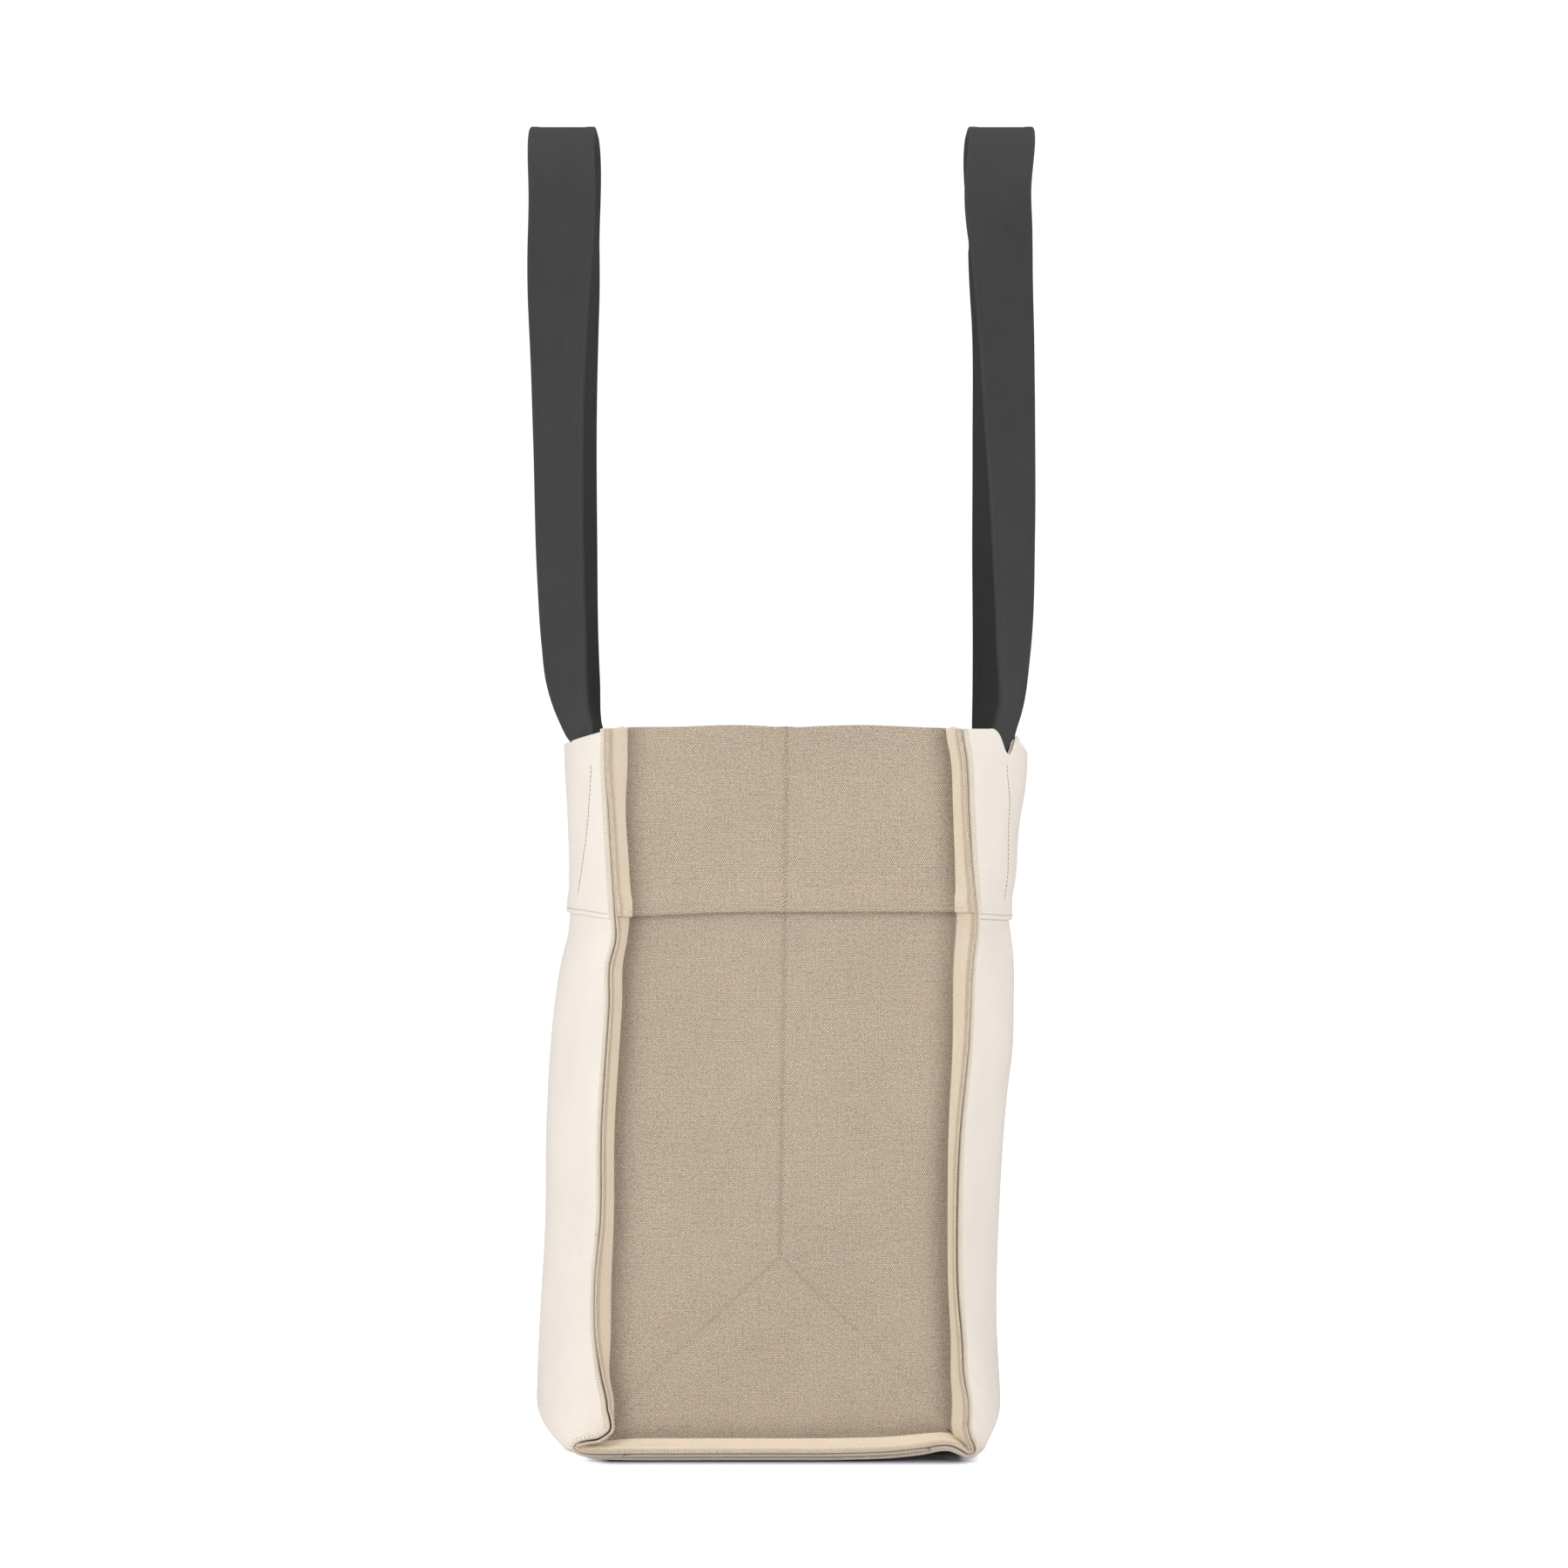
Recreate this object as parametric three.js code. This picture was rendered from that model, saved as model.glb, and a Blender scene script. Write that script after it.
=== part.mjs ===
// A canvas tote bag with a boxed base, standing open on the floor with both handles raised.
// Millimetres, +Z up, origin on the floor under the middle of the bag.
// The two main panels face -X (front) and +X (back) and carry the handles. The two gussets face
// -Y (right) and +Y (left). Every edge where two cloths meet is a raised seam: both cloths turn
// outwards at half a right angle and run side by side as a lip.
import * as THREE from "three";

// Driving dimensions.
const CANVAS = 1.2; // thickness of one layer of cloth
const GAP = 0.3; // air between two layers that lie on each other
const GUSSET_WIDTH = 178; // gusset cloth between its two seams
const BODY_LENGTH = 313; // from one gusset to the other, along Y
const BODY_HEIGHT = 403; // floor to rim
const BAND_HEIGHT = 100; // deep band of a second layer of cloth below the rim
const SEAM_LIP = 12; // width of a raised seam
// How far a main panel bows out at its rim and foot, and how far its rim sinks between its seams.
const FRONT_SLACK = { rim: 41, foot: 54, droop: 9 };
const BACK_SLACK = { rim: 53, foot: 35, droop: 15 };
const FLAT_BASE_LENGTH = 200; // stretch of the base that lies flat on the floor
const BASE_HALF_WIDTH = 70; // where the base is joined to the panels' turned-under edges
const CORNER_AT_END = 6; // radius between wall and base at the gussets
const CORNER_AT_MIDDLE = 24; // and halfway along the bag
const HANDLE_TAIL = 90; // length of each end of a handle that is sewn inside the rim
const HANDLE_WIDTH = 38;
const HANDLE_THICKNESS = 2.4;
const HANDLE_RISE = 350; // rim to the top of the handle
const HANDLE_SPACING = 164; // between the middles of a handle's two legs

// Worked out from them.
const HALF_LENGTH = BODY_LENGTH / 2;
const HALF_GUSSET = GUSSET_WIDTH / 2;
const BASE_LAYERS = 2;
const LAYER = CANVAS + GAP; // from the middle of one layer to the middle of the next
const FIRST_LAYER = LAYER / 2; // from the seam line to the middle of the first layer
const SECOND_LAYER = FIRST_LAYER + LAYER;
const BASE_HEIGHT = FIRST_LAYER + (BASE_LAYERS - 1) * LAYER + CANVAS / 2;
const TAIL_LAYER = FIRST_LAYER - CANVAS / 2 - GAP - HANDLE_THICKNESS / 2; // inside the first layer
const LEG_Y = HANDLE_SPACING / 2;
const DIAGONAL = Math.SQRT1_2;

// Height of the gussets' lower edge, where the base turns down into lips that touch the floor.
const END_LIFT = (SEAM_LIP + SECOND_LAYER + CANVAS / 2) * DIAGONAL;

const FRONT = -1; // side of the bag along X
const BACK = 1;
const RIGHT = -1; // end of the bag along Y
const LEFT = 1;

const { lerp, smoothstep, degToRad } = THREE.MathUtils;

// ---- materials -------------------------------------------------------------------------------

const canvas = new THREE.MeshStandardMaterial({ color: 0xeee4d4, roughness: 0.95, metalness: 0 });
const shadedCanvas = new THREE.MeshStandardMaterial({ color: 0xd9c8ae, roughness: 0.95, metalness: 0 });
const charcoalCanvas = new THREE.MeshStandardMaterial({ color: 0x424242, roughness: 0.9, metalness: 0 });

// ---- the shape that all the cloths share -------------------------------------------------------

// Even steps from a to b, both included.
function steps(a, b, count) {
  return Array.from({ length: count + 1 }, (_, i) => lerp(a, b, i / count));
}

// The share of its full bulge that a main panel has at y: none at its seams, where it leaves the
// gussets square to them.
function bulgeShare(y) {
  return Math.max(0, 1 - (y / HALF_LENGTH) ** 2) ** 1.5;
}

function slack(side) {
  return side === FRONT ? FRONT_SLACK : BACK_SLACK;
}

// How far a main panel stands out from the bag's middle plane.
function halfWidth(side, y, z) {
  const { rim, foot } = slack(side);
  return HALF_GUSSET + lerp(foot, rim, smoothstep(z, 0, BODY_HEIGHT)) * bulgeShare(y);
}

function rimHeight(side, y) {
  return BODY_HEIGHT - slack(side).droop * bulgeShare(y);
}

// Height of the base at y: flat in the middle, lifted where it meets the gussets.
function baseHeight(y) {
  return lerp(BASE_HEIGHT, END_LIFT, smoothstep(Math.abs(y), FLAT_BASE_LENGTH / 2, HALF_LENGTH));
}

function cornerRadius(y) {
  return lerp(CORNER_AT_MIDDLE, CORNER_AT_END, Math.abs(y) / HALF_LENGTH);
}

// A point of the body's outline across the bag at y, and the outward direction there.
// s runs down the wall from 0 at the rim to 1, round the corner to 2 and under the bag to 3.
function outline(side, y, s) {
  const radius = cornerRadius(y);
  const low = baseHeight(y);
  const cornerX = halfWidth(side, y, low + radius) - radius;
  if (s <= 1) {
    const z = lerp(rimHeight(side, y), low + radius, s);
    return { x: side * halfWidth(side, y, z), z, outX: side, outZ: 0 };
  }
  if (s <= 2) {
    const angle = ((s - 1) * Math.PI) / 2;
    const outX = side * Math.cos(angle);
    const outZ = -Math.sin(angle);
    return { x: side * cornerX + radius * outX, z: low + radius + radius * outZ, outX, outZ };
  }
  return { x: side * lerp(cornerX, BASE_HALF_WIDTH, s - 2), z: low, outX: 0, outZ: -1 };
}

// A point of a cloth that runs along the bag as v goes from -1 to 1, and beyond that, out to 2 at
// either end, turns outwards as a seam lip.
function withLips(v, pointAt) {
  const end = Math.sign(v);
  const lip = Math.max(0, Math.abs(v) - 1) * SEAM_LIP * DIAGONAL;
  const y = THREE.MathUtils.clamp(v, -1, 1) * HALF_LENGTH;
  const p = pointAt(y);
  return new THREE.Vector3(p.x + lip * p.outX, y + end * lip, p.z + lip * p.outZ);
}

// ---- closed solids ----------------------------------------------------------------------------

// An indexed geometry with its faces pointing out.
function solidGeometry(points, triangles) {
  let volume = 0;
  for (const [a, b, c] of triangles) {
    volume += points[a].dot(points[b].clone().cross(points[c]));
  }
  const facing = volume < 0 ? triangles.map(([a, b, c]) => [a, c, b]) : triangles;
  return new THREE.BufferGeometry().setFromPoints(points).setIndex(facing.flat());
}

// The triangles that close a band between two loops of indices.
function wallBetween(loopA, loopB) {
  return loopA.flatMap((a, i) => {
    const next = (i + 1) % loopA.length;
    return [
      [a, loopA[next], loopB[next]],
      [a, loopB[next], loopB[i]],
    ];
  });
}

// The tangent at a point between its neighbours along a row, and how much further than its own
// distance a parallel row lies at the bend there.
function bendAt(previous, here, next) {
  const before = here.clone().sub(previous).normalize();
  const after = next.clone().sub(here).normalize();
  const tangent = before.add(after);
  const atAnEnd = previous.equals(here) || next.equals(here);
  const mitre = atAnEnd ? 1 : 2 / tangent.length();
  return { tangent: tangent.normalize(), mitre };
}

// A sheet of cloth of even thickness. surface(u, v) is its reference surface, and layer says how
// far the middle of the cloth lies from that, along the surface's normal.
function clothGeometry(surface, us, vs, layer, thickness = CANVAS) {
  const grid = us.map((u) => vs.map((v) => surface(u, v)));
  const at = (i, j) =>
    grid[THREE.MathUtils.clamp(i, 0, us.length - 1)][THREE.MathUtils.clamp(j, 0, vs.length - 1)];
  const faces = [layer + thickness / 2, layer - thickness / 2].map((offset) =>
    us.flatMap((_, i) =>
      vs.map((__, j) => {
        const u = bendAt(at(i - 1, j), at(i, j), at(i + 1, j));
        const v = bendAt(at(i, j - 1), at(i, j), at(i, j + 1));
        const normal = u.tangent.cross(v.tangent).normalize();
        return at(i, j).clone().addScaledVector(normal, offset * u.mitre * v.mitre);
      }),
    ),
  );
  const rows = us.length;
  const columns = vs.length;
  const index = (face, i, j) => face * rows * columns + i * columns + j;
  const triangles = [];
  for (let i = 0; i < rows - 1; i++) {
    for (let j = 0; j < columns - 1; j++) {
      const [a, b, c, d] = [[i, j], [i + 1, j], [i + 1, j + 1], [i, j + 1]];
      triangles.push([index(0, ...a), index(0, ...b), index(0, ...c)]);
      triangles.push([index(0, ...a), index(0, ...c), index(0, ...d)]);
      triangles.push([index(1, ...a), index(1, ...c), index(1, ...b)]);
      triangles.push([index(1, ...a), index(1, ...d), index(1, ...c)]);
    }
  }
  const edge = (face) => [
    ...vs.map((_, j) => index(face, 0, j)),
    ...us.slice(1).map((_, i) => index(face, i + 1, columns - 1)),
    ...vs.slice(1).map((_, j) => index(face, rows - 1, columns - 2 - j)),
    ...us.slice(2).map((_, i) => index(face, rows - 2 - i, 0)),
  ];
  return solidGeometry(faces.flat(), [...triangles, ...wallBetween(edge(0), edge(1))]);
}

// A strap along a row of stations, each { centre, across, along }.
function strapGeometry(stations, width, thickness) {
  const points = stations.flatMap(({ centre, across, along }) => {
    const through = across.clone().cross(along).normalize();
    return [[-1, -1], [1, -1], [1, 1], [-1, 1]].map(([a, t]) =>
      centre
        .clone()
        .addScaledVector(across, (a * width) / 2)
        .addScaledVector(through, (t * thickness) / 2),
    );
  });
  const ring = (i) => [0, 1, 2, 3].map((k) => 4 * i + k);
  const last = stations.length - 1;
  const [a, b, c, d] = ring(0);
  const [e, f, g, h] = ring(last);
  const triangles = [[a, b, c], [a, c, d], [e, g, f], [e, h, g]];
  for (let i = 0; i < last; i++) {
    triangles.push(...wallBetween(ring(i + 1), ring(i)));
  }
  return solidGeometry(points, triangles);
}

function part(name, geometry, material) {
  const mesh = new THREE.Mesh(geometry, material);
  mesh.name = name;
  return mesh;
}

// ---- the cloths -------------------------------------------------------------------------------

// Rows of points along the bag, with one at each edge and at the middle of each handle leg.
const LEG_ROWS = [-1, 0, 1].map((edge) => (LEG_Y + (edge * HANDLE_WIDTH) / 2) / HALF_LENGTH);
const HALF_BAG = [0.2, ...LEG_ROWS, 0.85, 1, 2];
const ALONG_BAG = [...HALF_BAG.map((v) => -v).reverse(), 0, ...HALF_BAG];

// The part of a main panel's wall, 0 to 1 from the rim down, that the band covers.
const BAND_SHARE = BAND_HEIGHT / (BODY_HEIGHT - END_LIFT - CORNER_AT_END);

// A main panel: wall, rounded corner and the edge turned under the bag. side is FRONT or BACK.
function mainPanelSurface(side) {
  return (s, v) => withLips(side * v, (y) => outline(side, y, s));
}

function mainPanel(side) {
  const down = [...steps(0, BAND_SHARE, 2), ...steps(BAND_SHARE, 1, 3).slice(1), 1.5, 2, 3];
  return clothGeometry(mainPanelSurface(side), down, ALONG_BAG, FIRST_LAYER);
}

function mainBand(side) {
  return clothGeometry(mainPanelSurface(side), steps(0, BAND_SHARE, 2), ALONG_BAG, SECOND_LAYER);
}

// A gusset: flat between its seams, with a lip down both sides and along its lower edge. end is
// RIGHT or LEFT. Its lower corners have one extra point, which rounds them as the body's are.
function gussetSurface(end) {
  return (u, w) => {
    const cut = Math.abs(u) >= 1 && w <= 0 ? CORNER_AT_END * (1 - DIAGONAL) : 0;
    const across = THREE.MathUtils.clamp(u, -1, 1) * (HALF_GUSSET - cut);
    const z = lerp(END_LIFT + cut, BODY_HEIGHT, Math.max(0, w));
    const sideLip = Math.max(0, Math.abs(u) - 1);
    const lowLip = Math.max(0, -w);
    const lip = Math.max(sideLip, lowLip) * SEAM_LIP * DIAGONAL;
    const turn = sideLip > 0 && lowLip > 0 ? DIAGONAL : 1;
    return new THREE.Vector3(
      -end * (across + Math.sign(u) * (sideLip > 0 ? lip * turn : 0)),
      end * (HALF_LENGTH + lip),
      z - (lowLip > 0 ? lip * turn : 0),
    );
  };
}

function gusset(end) {
  const corner = CORNER_AT_END / HALF_GUSSET;
  const rise = CORNER_AT_END / (BODY_HEIGHT - END_LIFT);
  const across = [-2, -1, -1 + corner, 0, 1 - corner, 1, 2];
  const up = [-1, 0, rise, 0.35, 0.7, 1];
  return clothGeometry(gussetSurface(end), across, up, FIRST_LAYER);
}

function gussetBand(end) {
  const low = 1 - BAND_HEIGHT / (BODY_HEIGHT - END_LIFT);
  return clothGeometry(gussetSurface(end), [-2, -1, 0, 1, 2], [low, 1], SECOND_LAYER);
}

// A layer of the base, butted against the panels' turned-under edges.
function baseLayer(layer) {
  const half = BASE_HALF_WIDTH - 2 * GAP;
  const flat = FLAT_BASE_LENGTH / BODY_LENGTH;
  const along = [-2, -1, -(1 + flat) / 2, -flat, flat, (1 + flat) / 2, 1, 2];
  const surface = (v, x) => withLips(v, (y) => ({ x, z: baseHeight(y), outX: 0, outZ: -1 }));
  return clothGeometry(surface, along, [-half, half], layer);
}

// ---- the handles ------------------------------------------------------------------------------

const HANDLE_START = 8; // height above the rim where the free handle begins
const ARCH_HEIGHT = 60; // the handle's round top
const HANDLE_FLAT = 12; // half of the flat stretch at the very top
const TWIST_END = 210; // height above the rim where the strap has turned square to the bag
const FRONT_LEAN = { low: 127, top: 127 }; // how far from the bag's middle plane the strap stands
const BACK_LEAN = { low: 127, top: 122 };

// How far the strap's middle stands from the bag's middle plane at a height above the rim.
function strapOut(side, height) {
  const lean = side === FRONT ? FRONT_LEAN : BACK_LEAN;
  const foot = halfWidth(side, LEG_Y, BODY_HEIGHT) + TAIL_LAYER;
  const rising = lerp(foot, lean.low, smoothstep(height, 0, TWIST_END));
  return lerp(rising, lean.top, smoothstep(height, TWIST_END, HANDLE_RISE));
}

// Slope of a main panel's rim in plan at the handle's leg, as an angle.
function legSlant(side) {
  const reach = HANDLE_WIDTH / 2;
  const fall =
    halfWidth(side, LEG_Y - reach, BODY_HEIGHT) - halfWidth(side, LEG_Y + reach, BODY_HEIGHT);
  return Math.atan(fall / HANDLE_WIDTH);
}

// One leg from its foot up to the arch. The strap leaves the rim flat against the panel and turns
// square to it on the way up.
function legStations(side, end) {
  return [HANDLE_START, 30, 60, 90, 120, 150, 180, TWIST_END, 245].map((height) => {
    const twist = lerp(legSlant(side), Math.PI / 2, smoothstep(height, 0, TWIST_END));
    return {
      centre: new THREE.Vector3(side * strapOut(side, height), end * LEG_Y, BODY_HEIGHT + height),
      across: new THREE.Vector3(side * Math.sin(twist), -end * Math.cos(twist), 0),
      along: new THREE.Vector3(0, 0, -end),
    };
  });
}

// The round top, as half an ellipse with a short flat at the crown.
function archStations(side) {
  const springing = HANDLE_RISE - HANDLE_THICKNESS / 2 - ARCH_HEIGHT;
  const reach = LEG_Y - HANDLE_FLAT;
  const quarter = steps(0, 90, 6).map(degToRad);
  const half = (end) =>
    quarter.map((angle) => {
      const height = springing + ARCH_HEIGHT * Math.sin(angle);
      return {
        centre: new THREE.Vector3(
          side * strapOut(side, height),
          end * (HANDLE_FLAT + reach * Math.cos(angle)),
          BODY_HEIGHT + height,
        ),
        across: new THREE.Vector3(side, 0, 0),
        along: new THREE.Vector3(
          0,
          reach * Math.sin(angle),
          -end * ARCH_HEIGHT * Math.cos(angle),
        ).normalize(),
      };
    });
  return [...half(RIGHT), ...half(LEFT).reverse()];
}

function handleLoop(side) {
  const stations = [
    ...legStations(side, RIGHT),
    ...archStations(side),
    ...legStations(side, LEFT).reverse(),
  ];
  return strapGeometry(stations, HANDLE_WIDTH, HANDLE_THICKNESS);
}

// The end of a handle leg, sewn flat to the inside of the main panel.
function handleTail(side, end) {
  const surface = (z, y) => new THREE.Vector3(side * halfWidth(side, y, z), y, z);
  const reach = (side * HANDLE_WIDTH) / 2;
  const across = steps(end * LEG_Y - reach, end * LEG_Y + reach, 2);
  const top = rimHeight(side, LEG_Y) - 2;
  const down = steps(top, top - HANDLE_TAIL, 2);
  return clothGeometry(surface, down, across, TAIL_LAYER, HANDLE_THICKNESS);
}

// ---- assembly ---------------------------------------------------------------------------------

const bag = new THREE.Group();

for (const [name, side] of [["front", FRONT], ["back", BACK]]) {
  bag.add(part(`${name}_panel`, mainPanel(side), canvas));
  bag.add(part(`${name}_top_band`, mainBand(side), canvas));
  bag.add(part(`${name}_handle`, handleLoop(side), charcoalCanvas));
  for (const [place, end] of [["right", RIGHT], ["left", LEFT]]) {
    bag.add(part(`${name}_handle_tail_${place}`, handleTail(side, end), charcoalCanvas));
  }
}

for (const [name, end] of [["right", RIGHT], ["left", LEFT]]) {
  bag.add(part(`${name}_gusset`, gusset(end), shadedCanvas));
  bag.add(part(`${name}_gusset_top_band`, gussetBand(end), shadedCanvas));
}

bag.add(part("base_panel", baseLayer(FIRST_LAYER), canvas));
bag.add(part("base_reinforcement", baseLayer(SECOND_LAYER), canvas));

export default bag;
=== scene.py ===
"""A canvas tote bag with a boxed base, standing open on a studio floor with both handles raised."""

import math

import bpy
import numpy as np
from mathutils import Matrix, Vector

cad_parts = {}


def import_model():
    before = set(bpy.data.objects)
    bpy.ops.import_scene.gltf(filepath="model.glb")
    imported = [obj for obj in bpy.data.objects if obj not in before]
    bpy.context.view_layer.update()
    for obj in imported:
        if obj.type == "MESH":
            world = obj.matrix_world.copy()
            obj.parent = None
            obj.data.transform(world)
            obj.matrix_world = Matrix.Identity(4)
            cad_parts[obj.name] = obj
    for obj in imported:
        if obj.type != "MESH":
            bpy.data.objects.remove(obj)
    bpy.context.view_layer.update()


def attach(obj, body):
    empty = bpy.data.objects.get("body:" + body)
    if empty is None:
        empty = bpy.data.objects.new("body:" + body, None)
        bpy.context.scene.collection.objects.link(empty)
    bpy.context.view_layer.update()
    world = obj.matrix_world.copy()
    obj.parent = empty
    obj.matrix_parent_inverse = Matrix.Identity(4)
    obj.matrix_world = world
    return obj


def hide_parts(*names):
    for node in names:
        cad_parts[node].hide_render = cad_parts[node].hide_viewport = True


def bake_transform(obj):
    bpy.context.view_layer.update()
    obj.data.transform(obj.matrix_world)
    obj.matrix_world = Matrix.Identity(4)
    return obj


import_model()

# Metres and the row frame throughout: +Z up, the front panel faces -X and the right gusset -Y.
FRONT, BACK = -1, 1
RIGHT, LEFT = -1, 1
SIDES = {"front": FRONT, "back": BACK}
ENDS = {"right": RIGHT, "left": LEFT}

# The bag's driving dimensions, the same as the frame's.
CLOTH = 0.0012  # one layer of cloth
GAP = 0.0003  # air between two layers
HALF_GUSSET = 0.089
HALF_LENGTH = 0.1565
RIM = 0.403
BAND = 0.100  # depth of the top band
LIP = 0.012  # width of a raised seam
SLACK = {FRONT: (0.041, 0.054, 0.009), BACK: (0.053, 0.035, 0.015)}  # bow at rim, foot; rim droop
BASE_HALF_WIDTH = 0.070
CORNER_AT_END = 0.006
LEG_Y = 0.082
STRAP_WIDTH, STRAP_THICKNESS = 0.038, 0.0024
STRAP_TOP = 0.753
TAIL = 0.090

# The soft cloth's foot is fuller than the frame's.
FLAT_BASE = 0.130  # half of the base's flat stretch
CORNER_AT_MIDDLE = 0.015

FIRST = (CLOTH + GAP) / 2  # middle of the first layer, out from the seam line
SECOND = FIRST + CLOTH + GAP
BASE_HEIGHT = SECOND + CLOTH / 2
DIAGONAL = math.sqrt(0.5)
END_LIFT = (LIP + SECOND + CLOTH / 2) * DIAGONAL  # height of the gussets' lower edge
TAIL_LAYER = FIRST - CLOTH / 2 - GAP - STRAP_THICKNESS / 2

# Folded edges.
ROPE = 0.0034  # thickness of a main panel's folded edge
END_ROPE = 0.0017  # the same of a gusset
BASE_ROPE = 0.0021  # the same of the base's two layers
ROPE_REACH = 0.0045  # how far in from its end a lip is folded double
PARTING = 0.0003  # how far each lip of a seam stands off at its edge
HEM = {"panel": 0.0018, "gusset": 0.0030}  # thickness of a top band's folded lower edge
HEM_REACH = 0.008
VALLEY_REACH = 0.008  # how far from a seam's root the gusset gets painted shade
PANEL_BEND, BASE_BEND, GUSSET_BEND = 0.003, 0.002, 0.0007  # over which each turns into its lip


# ---- small maths --------------------------------------------------------------------------------


def lerp(a, b, t):
    return a + (b - a) * t


def smooth(x, low, high):
    t = np.clip((x - low) / (high - low), 0, 1)
    return t * t * (3 - 2 * t)


def hump(x, middle, reach):
    """1 at the middle, falling off as a bell."""
    return np.exp(-(((x - middle) / reach) ** 2))


def ramp(d, reach):
    """max(0, d) with its corner rounded over reach on both sides."""
    rounded = np.clip(d + reach, 0, 2 * reach) ** 2 / (4 * reach)
    return np.where(d > reach, d, rounded)


def through(x, knots):
    """A smooth curve through (position, value) knots, level beyond the first and last."""
    at, value = (np.array(column, float) for column in zip(*sorted(knots)))
    slope = np.gradient(value, at)
    slope[0] = slope[-1] = 0
    x = np.clip(x, at[0], at[-1])
    i = np.clip(np.searchsorted(at, x) - 1, 0, len(at) - 2)
    step = at[i + 1] - at[i]
    t = (x - at[i]) / step
    return (
        value[i] * (1 + 2 * t) * (1 - t) ** 2
        + slope[i] * step * t * (1 - t) ** 2
        + value[i + 1] * t * t * (3 - 2 * t)
        + slope[i + 1] * step * t * t * (t - 1)
    )


def knots_of(rows, k):
    """(position, value) knots from rows of a position and several values, the k-th of them."""
    return [(row[0], row[k]) for row in rows]


def spaced(*stops):
    """Positions from stop to stop: spaced(0, (0.1, 0.002), (0.3, 0.01)) steps 2 mm, then 10 mm."""
    row = [np.array([stops[0]])]
    at = stops[0]
    for end, step in stops[1:]:
        count = max(1, round(abs(end - at) / step))
        row.append(np.linspace(at, end, count + 1)[1:])
        at = end
    return np.concatenate(row)


def mirrored(half):
    """Positions from 0 outwards, repeated on the negative side."""
    return np.concatenate([-half[:0:-1], half])


# ---- the shape of the bag -----------------------------------------------------------------------

# How far each main panel is pinched in or pushed out halfway along, by height.
WAIST = {
    FRONT: [(0.000, 0.0), (0.065, -0.0010), (0.116, -0.0021), (0.167, -0.0004),
            (0.218, -0.0005), (0.243, -0.0018), (0.269, -0.0048), (0.284, -0.0080),
            (0.298, -0.0088), (0.319, -0.0088), (0.350, -0.0071), (0.396, -0.0044)],
    BACK: [(0.000, 0.0010), (0.065, -0.0025), (0.116, -0.0035), (0.192, -0.0031),
           (0.218, -0.0017), (0.243, -0.0028), (0.269, -0.0045), (0.284, -0.0070),
           (0.296, -0.0090), (0.320, -0.0071), (0.346, -0.0065), (0.371, -0.0030),
           (0.403, -0.0026)],
}


def bulge_share(y):
    return np.clip(1 - (y / HALF_LENGTH) ** 2, 0, None) ** 1.1


def belly(y, z):
    """How much fuller than its wall the bag's foot is, where the cloth sags on to the floor."""
    share = bulge_share(y)
    return (share**0.45 - share) * (1 - smooth(z, 0.015, 0.11))


def half_width(side, y, z):
    rim, foot, _ = SLACK[side]
    bow = lerp(foot, rim, smooth(z, 0, RIM)) + through(z, WAIST[side])
    return HALF_GUSSET + bow * (bulge_share(y) + belly(y, z))


def rim_height(side, y):
    return RIM - SLACK[side][2] * bulge_share(y)


def base_height(y):
    return lerp(BASE_HEIGHT, END_LIFT, smooth(np.abs(y), FLAT_BASE, HALF_LENGTH))


def corner_radius(y):
    return lerp(CORNER_AT_MIDDLE, CORNER_AT_END, np.abs(y) / HALF_LENGTH)


def outline(side, y, s):
    """A point across the bag at y, and the outward direction there, as x, z, out_x, out_z.
    s runs down the wall from 0 at the rim to 1, round the corner to 2 and under the bag to 3."""
    radius, low = corner_radius(y), base_height(y)
    corner = half_width(side, y, low + radius) - radius
    angle = np.clip(s - 1, 0, 1) * math.pi / 2
    out_x, out_z = side * np.cos(angle), -np.sin(angle)
    wall_z = lerp(rim_height(side, y), low + radius, np.clip(s, 0, 1))
    under = side * lerp(corner, BASE_HALF_WIDTH, np.clip(s - 2, 0, 1))
    on_wall, on_base = s <= 1, s >= 2
    x = np.where(on_wall, side * half_width(side, y, wall_z), side * corner + radius * out_x)
    z = np.where(on_wall, wall_z, low + radius + radius * out_z)
    return np.where(on_base, under, x), np.where(on_base, low, z), out_x, out_z


def with_lips(a, point_at, bend):
    """A cloth that runs along the bag to a = +-HALF_LENGTH and turns outwards there into a lip."""
    lip = ramp(np.abs(a) - HALF_LENGTH, bend)
    end = np.sign(a)
    y = end * (np.abs(a) - lip)
    x, z, out_x, out_z = point_at(y)
    rise = lip * DIAGONAL
    return np.stack([x + rise * out_x, y + end * rise, z + rise * out_z], -1)


def panel_surface(side):
    return lambda s, a: with_lips(side * a, lambda y: outline(side, y, s), PANEL_BEND)


def base_surface(a, b):
    """b runs across the base, in metres, and on up round its corners."""
    side = np.where(b < 0, FRONT, BACK)

    def point_at(y):
        radius, low = corner_radius(y), base_height(y)
        corner = lerp(BASE_HALF_WIDTH + 0.030, HALF_GUSSET - radius, np.abs(y) / HALF_LENGTH)
        angle = np.maximum(np.abs(b) - corner, 0) / radius
        x = side * (np.minimum(np.abs(b), corner) + radius * np.sin(angle))
        return x, low + radius * (1 - np.cos(angle)), side * np.sin(angle), -np.cos(angle)

    return with_lips(a, point_at, BASE_BEND)


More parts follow.
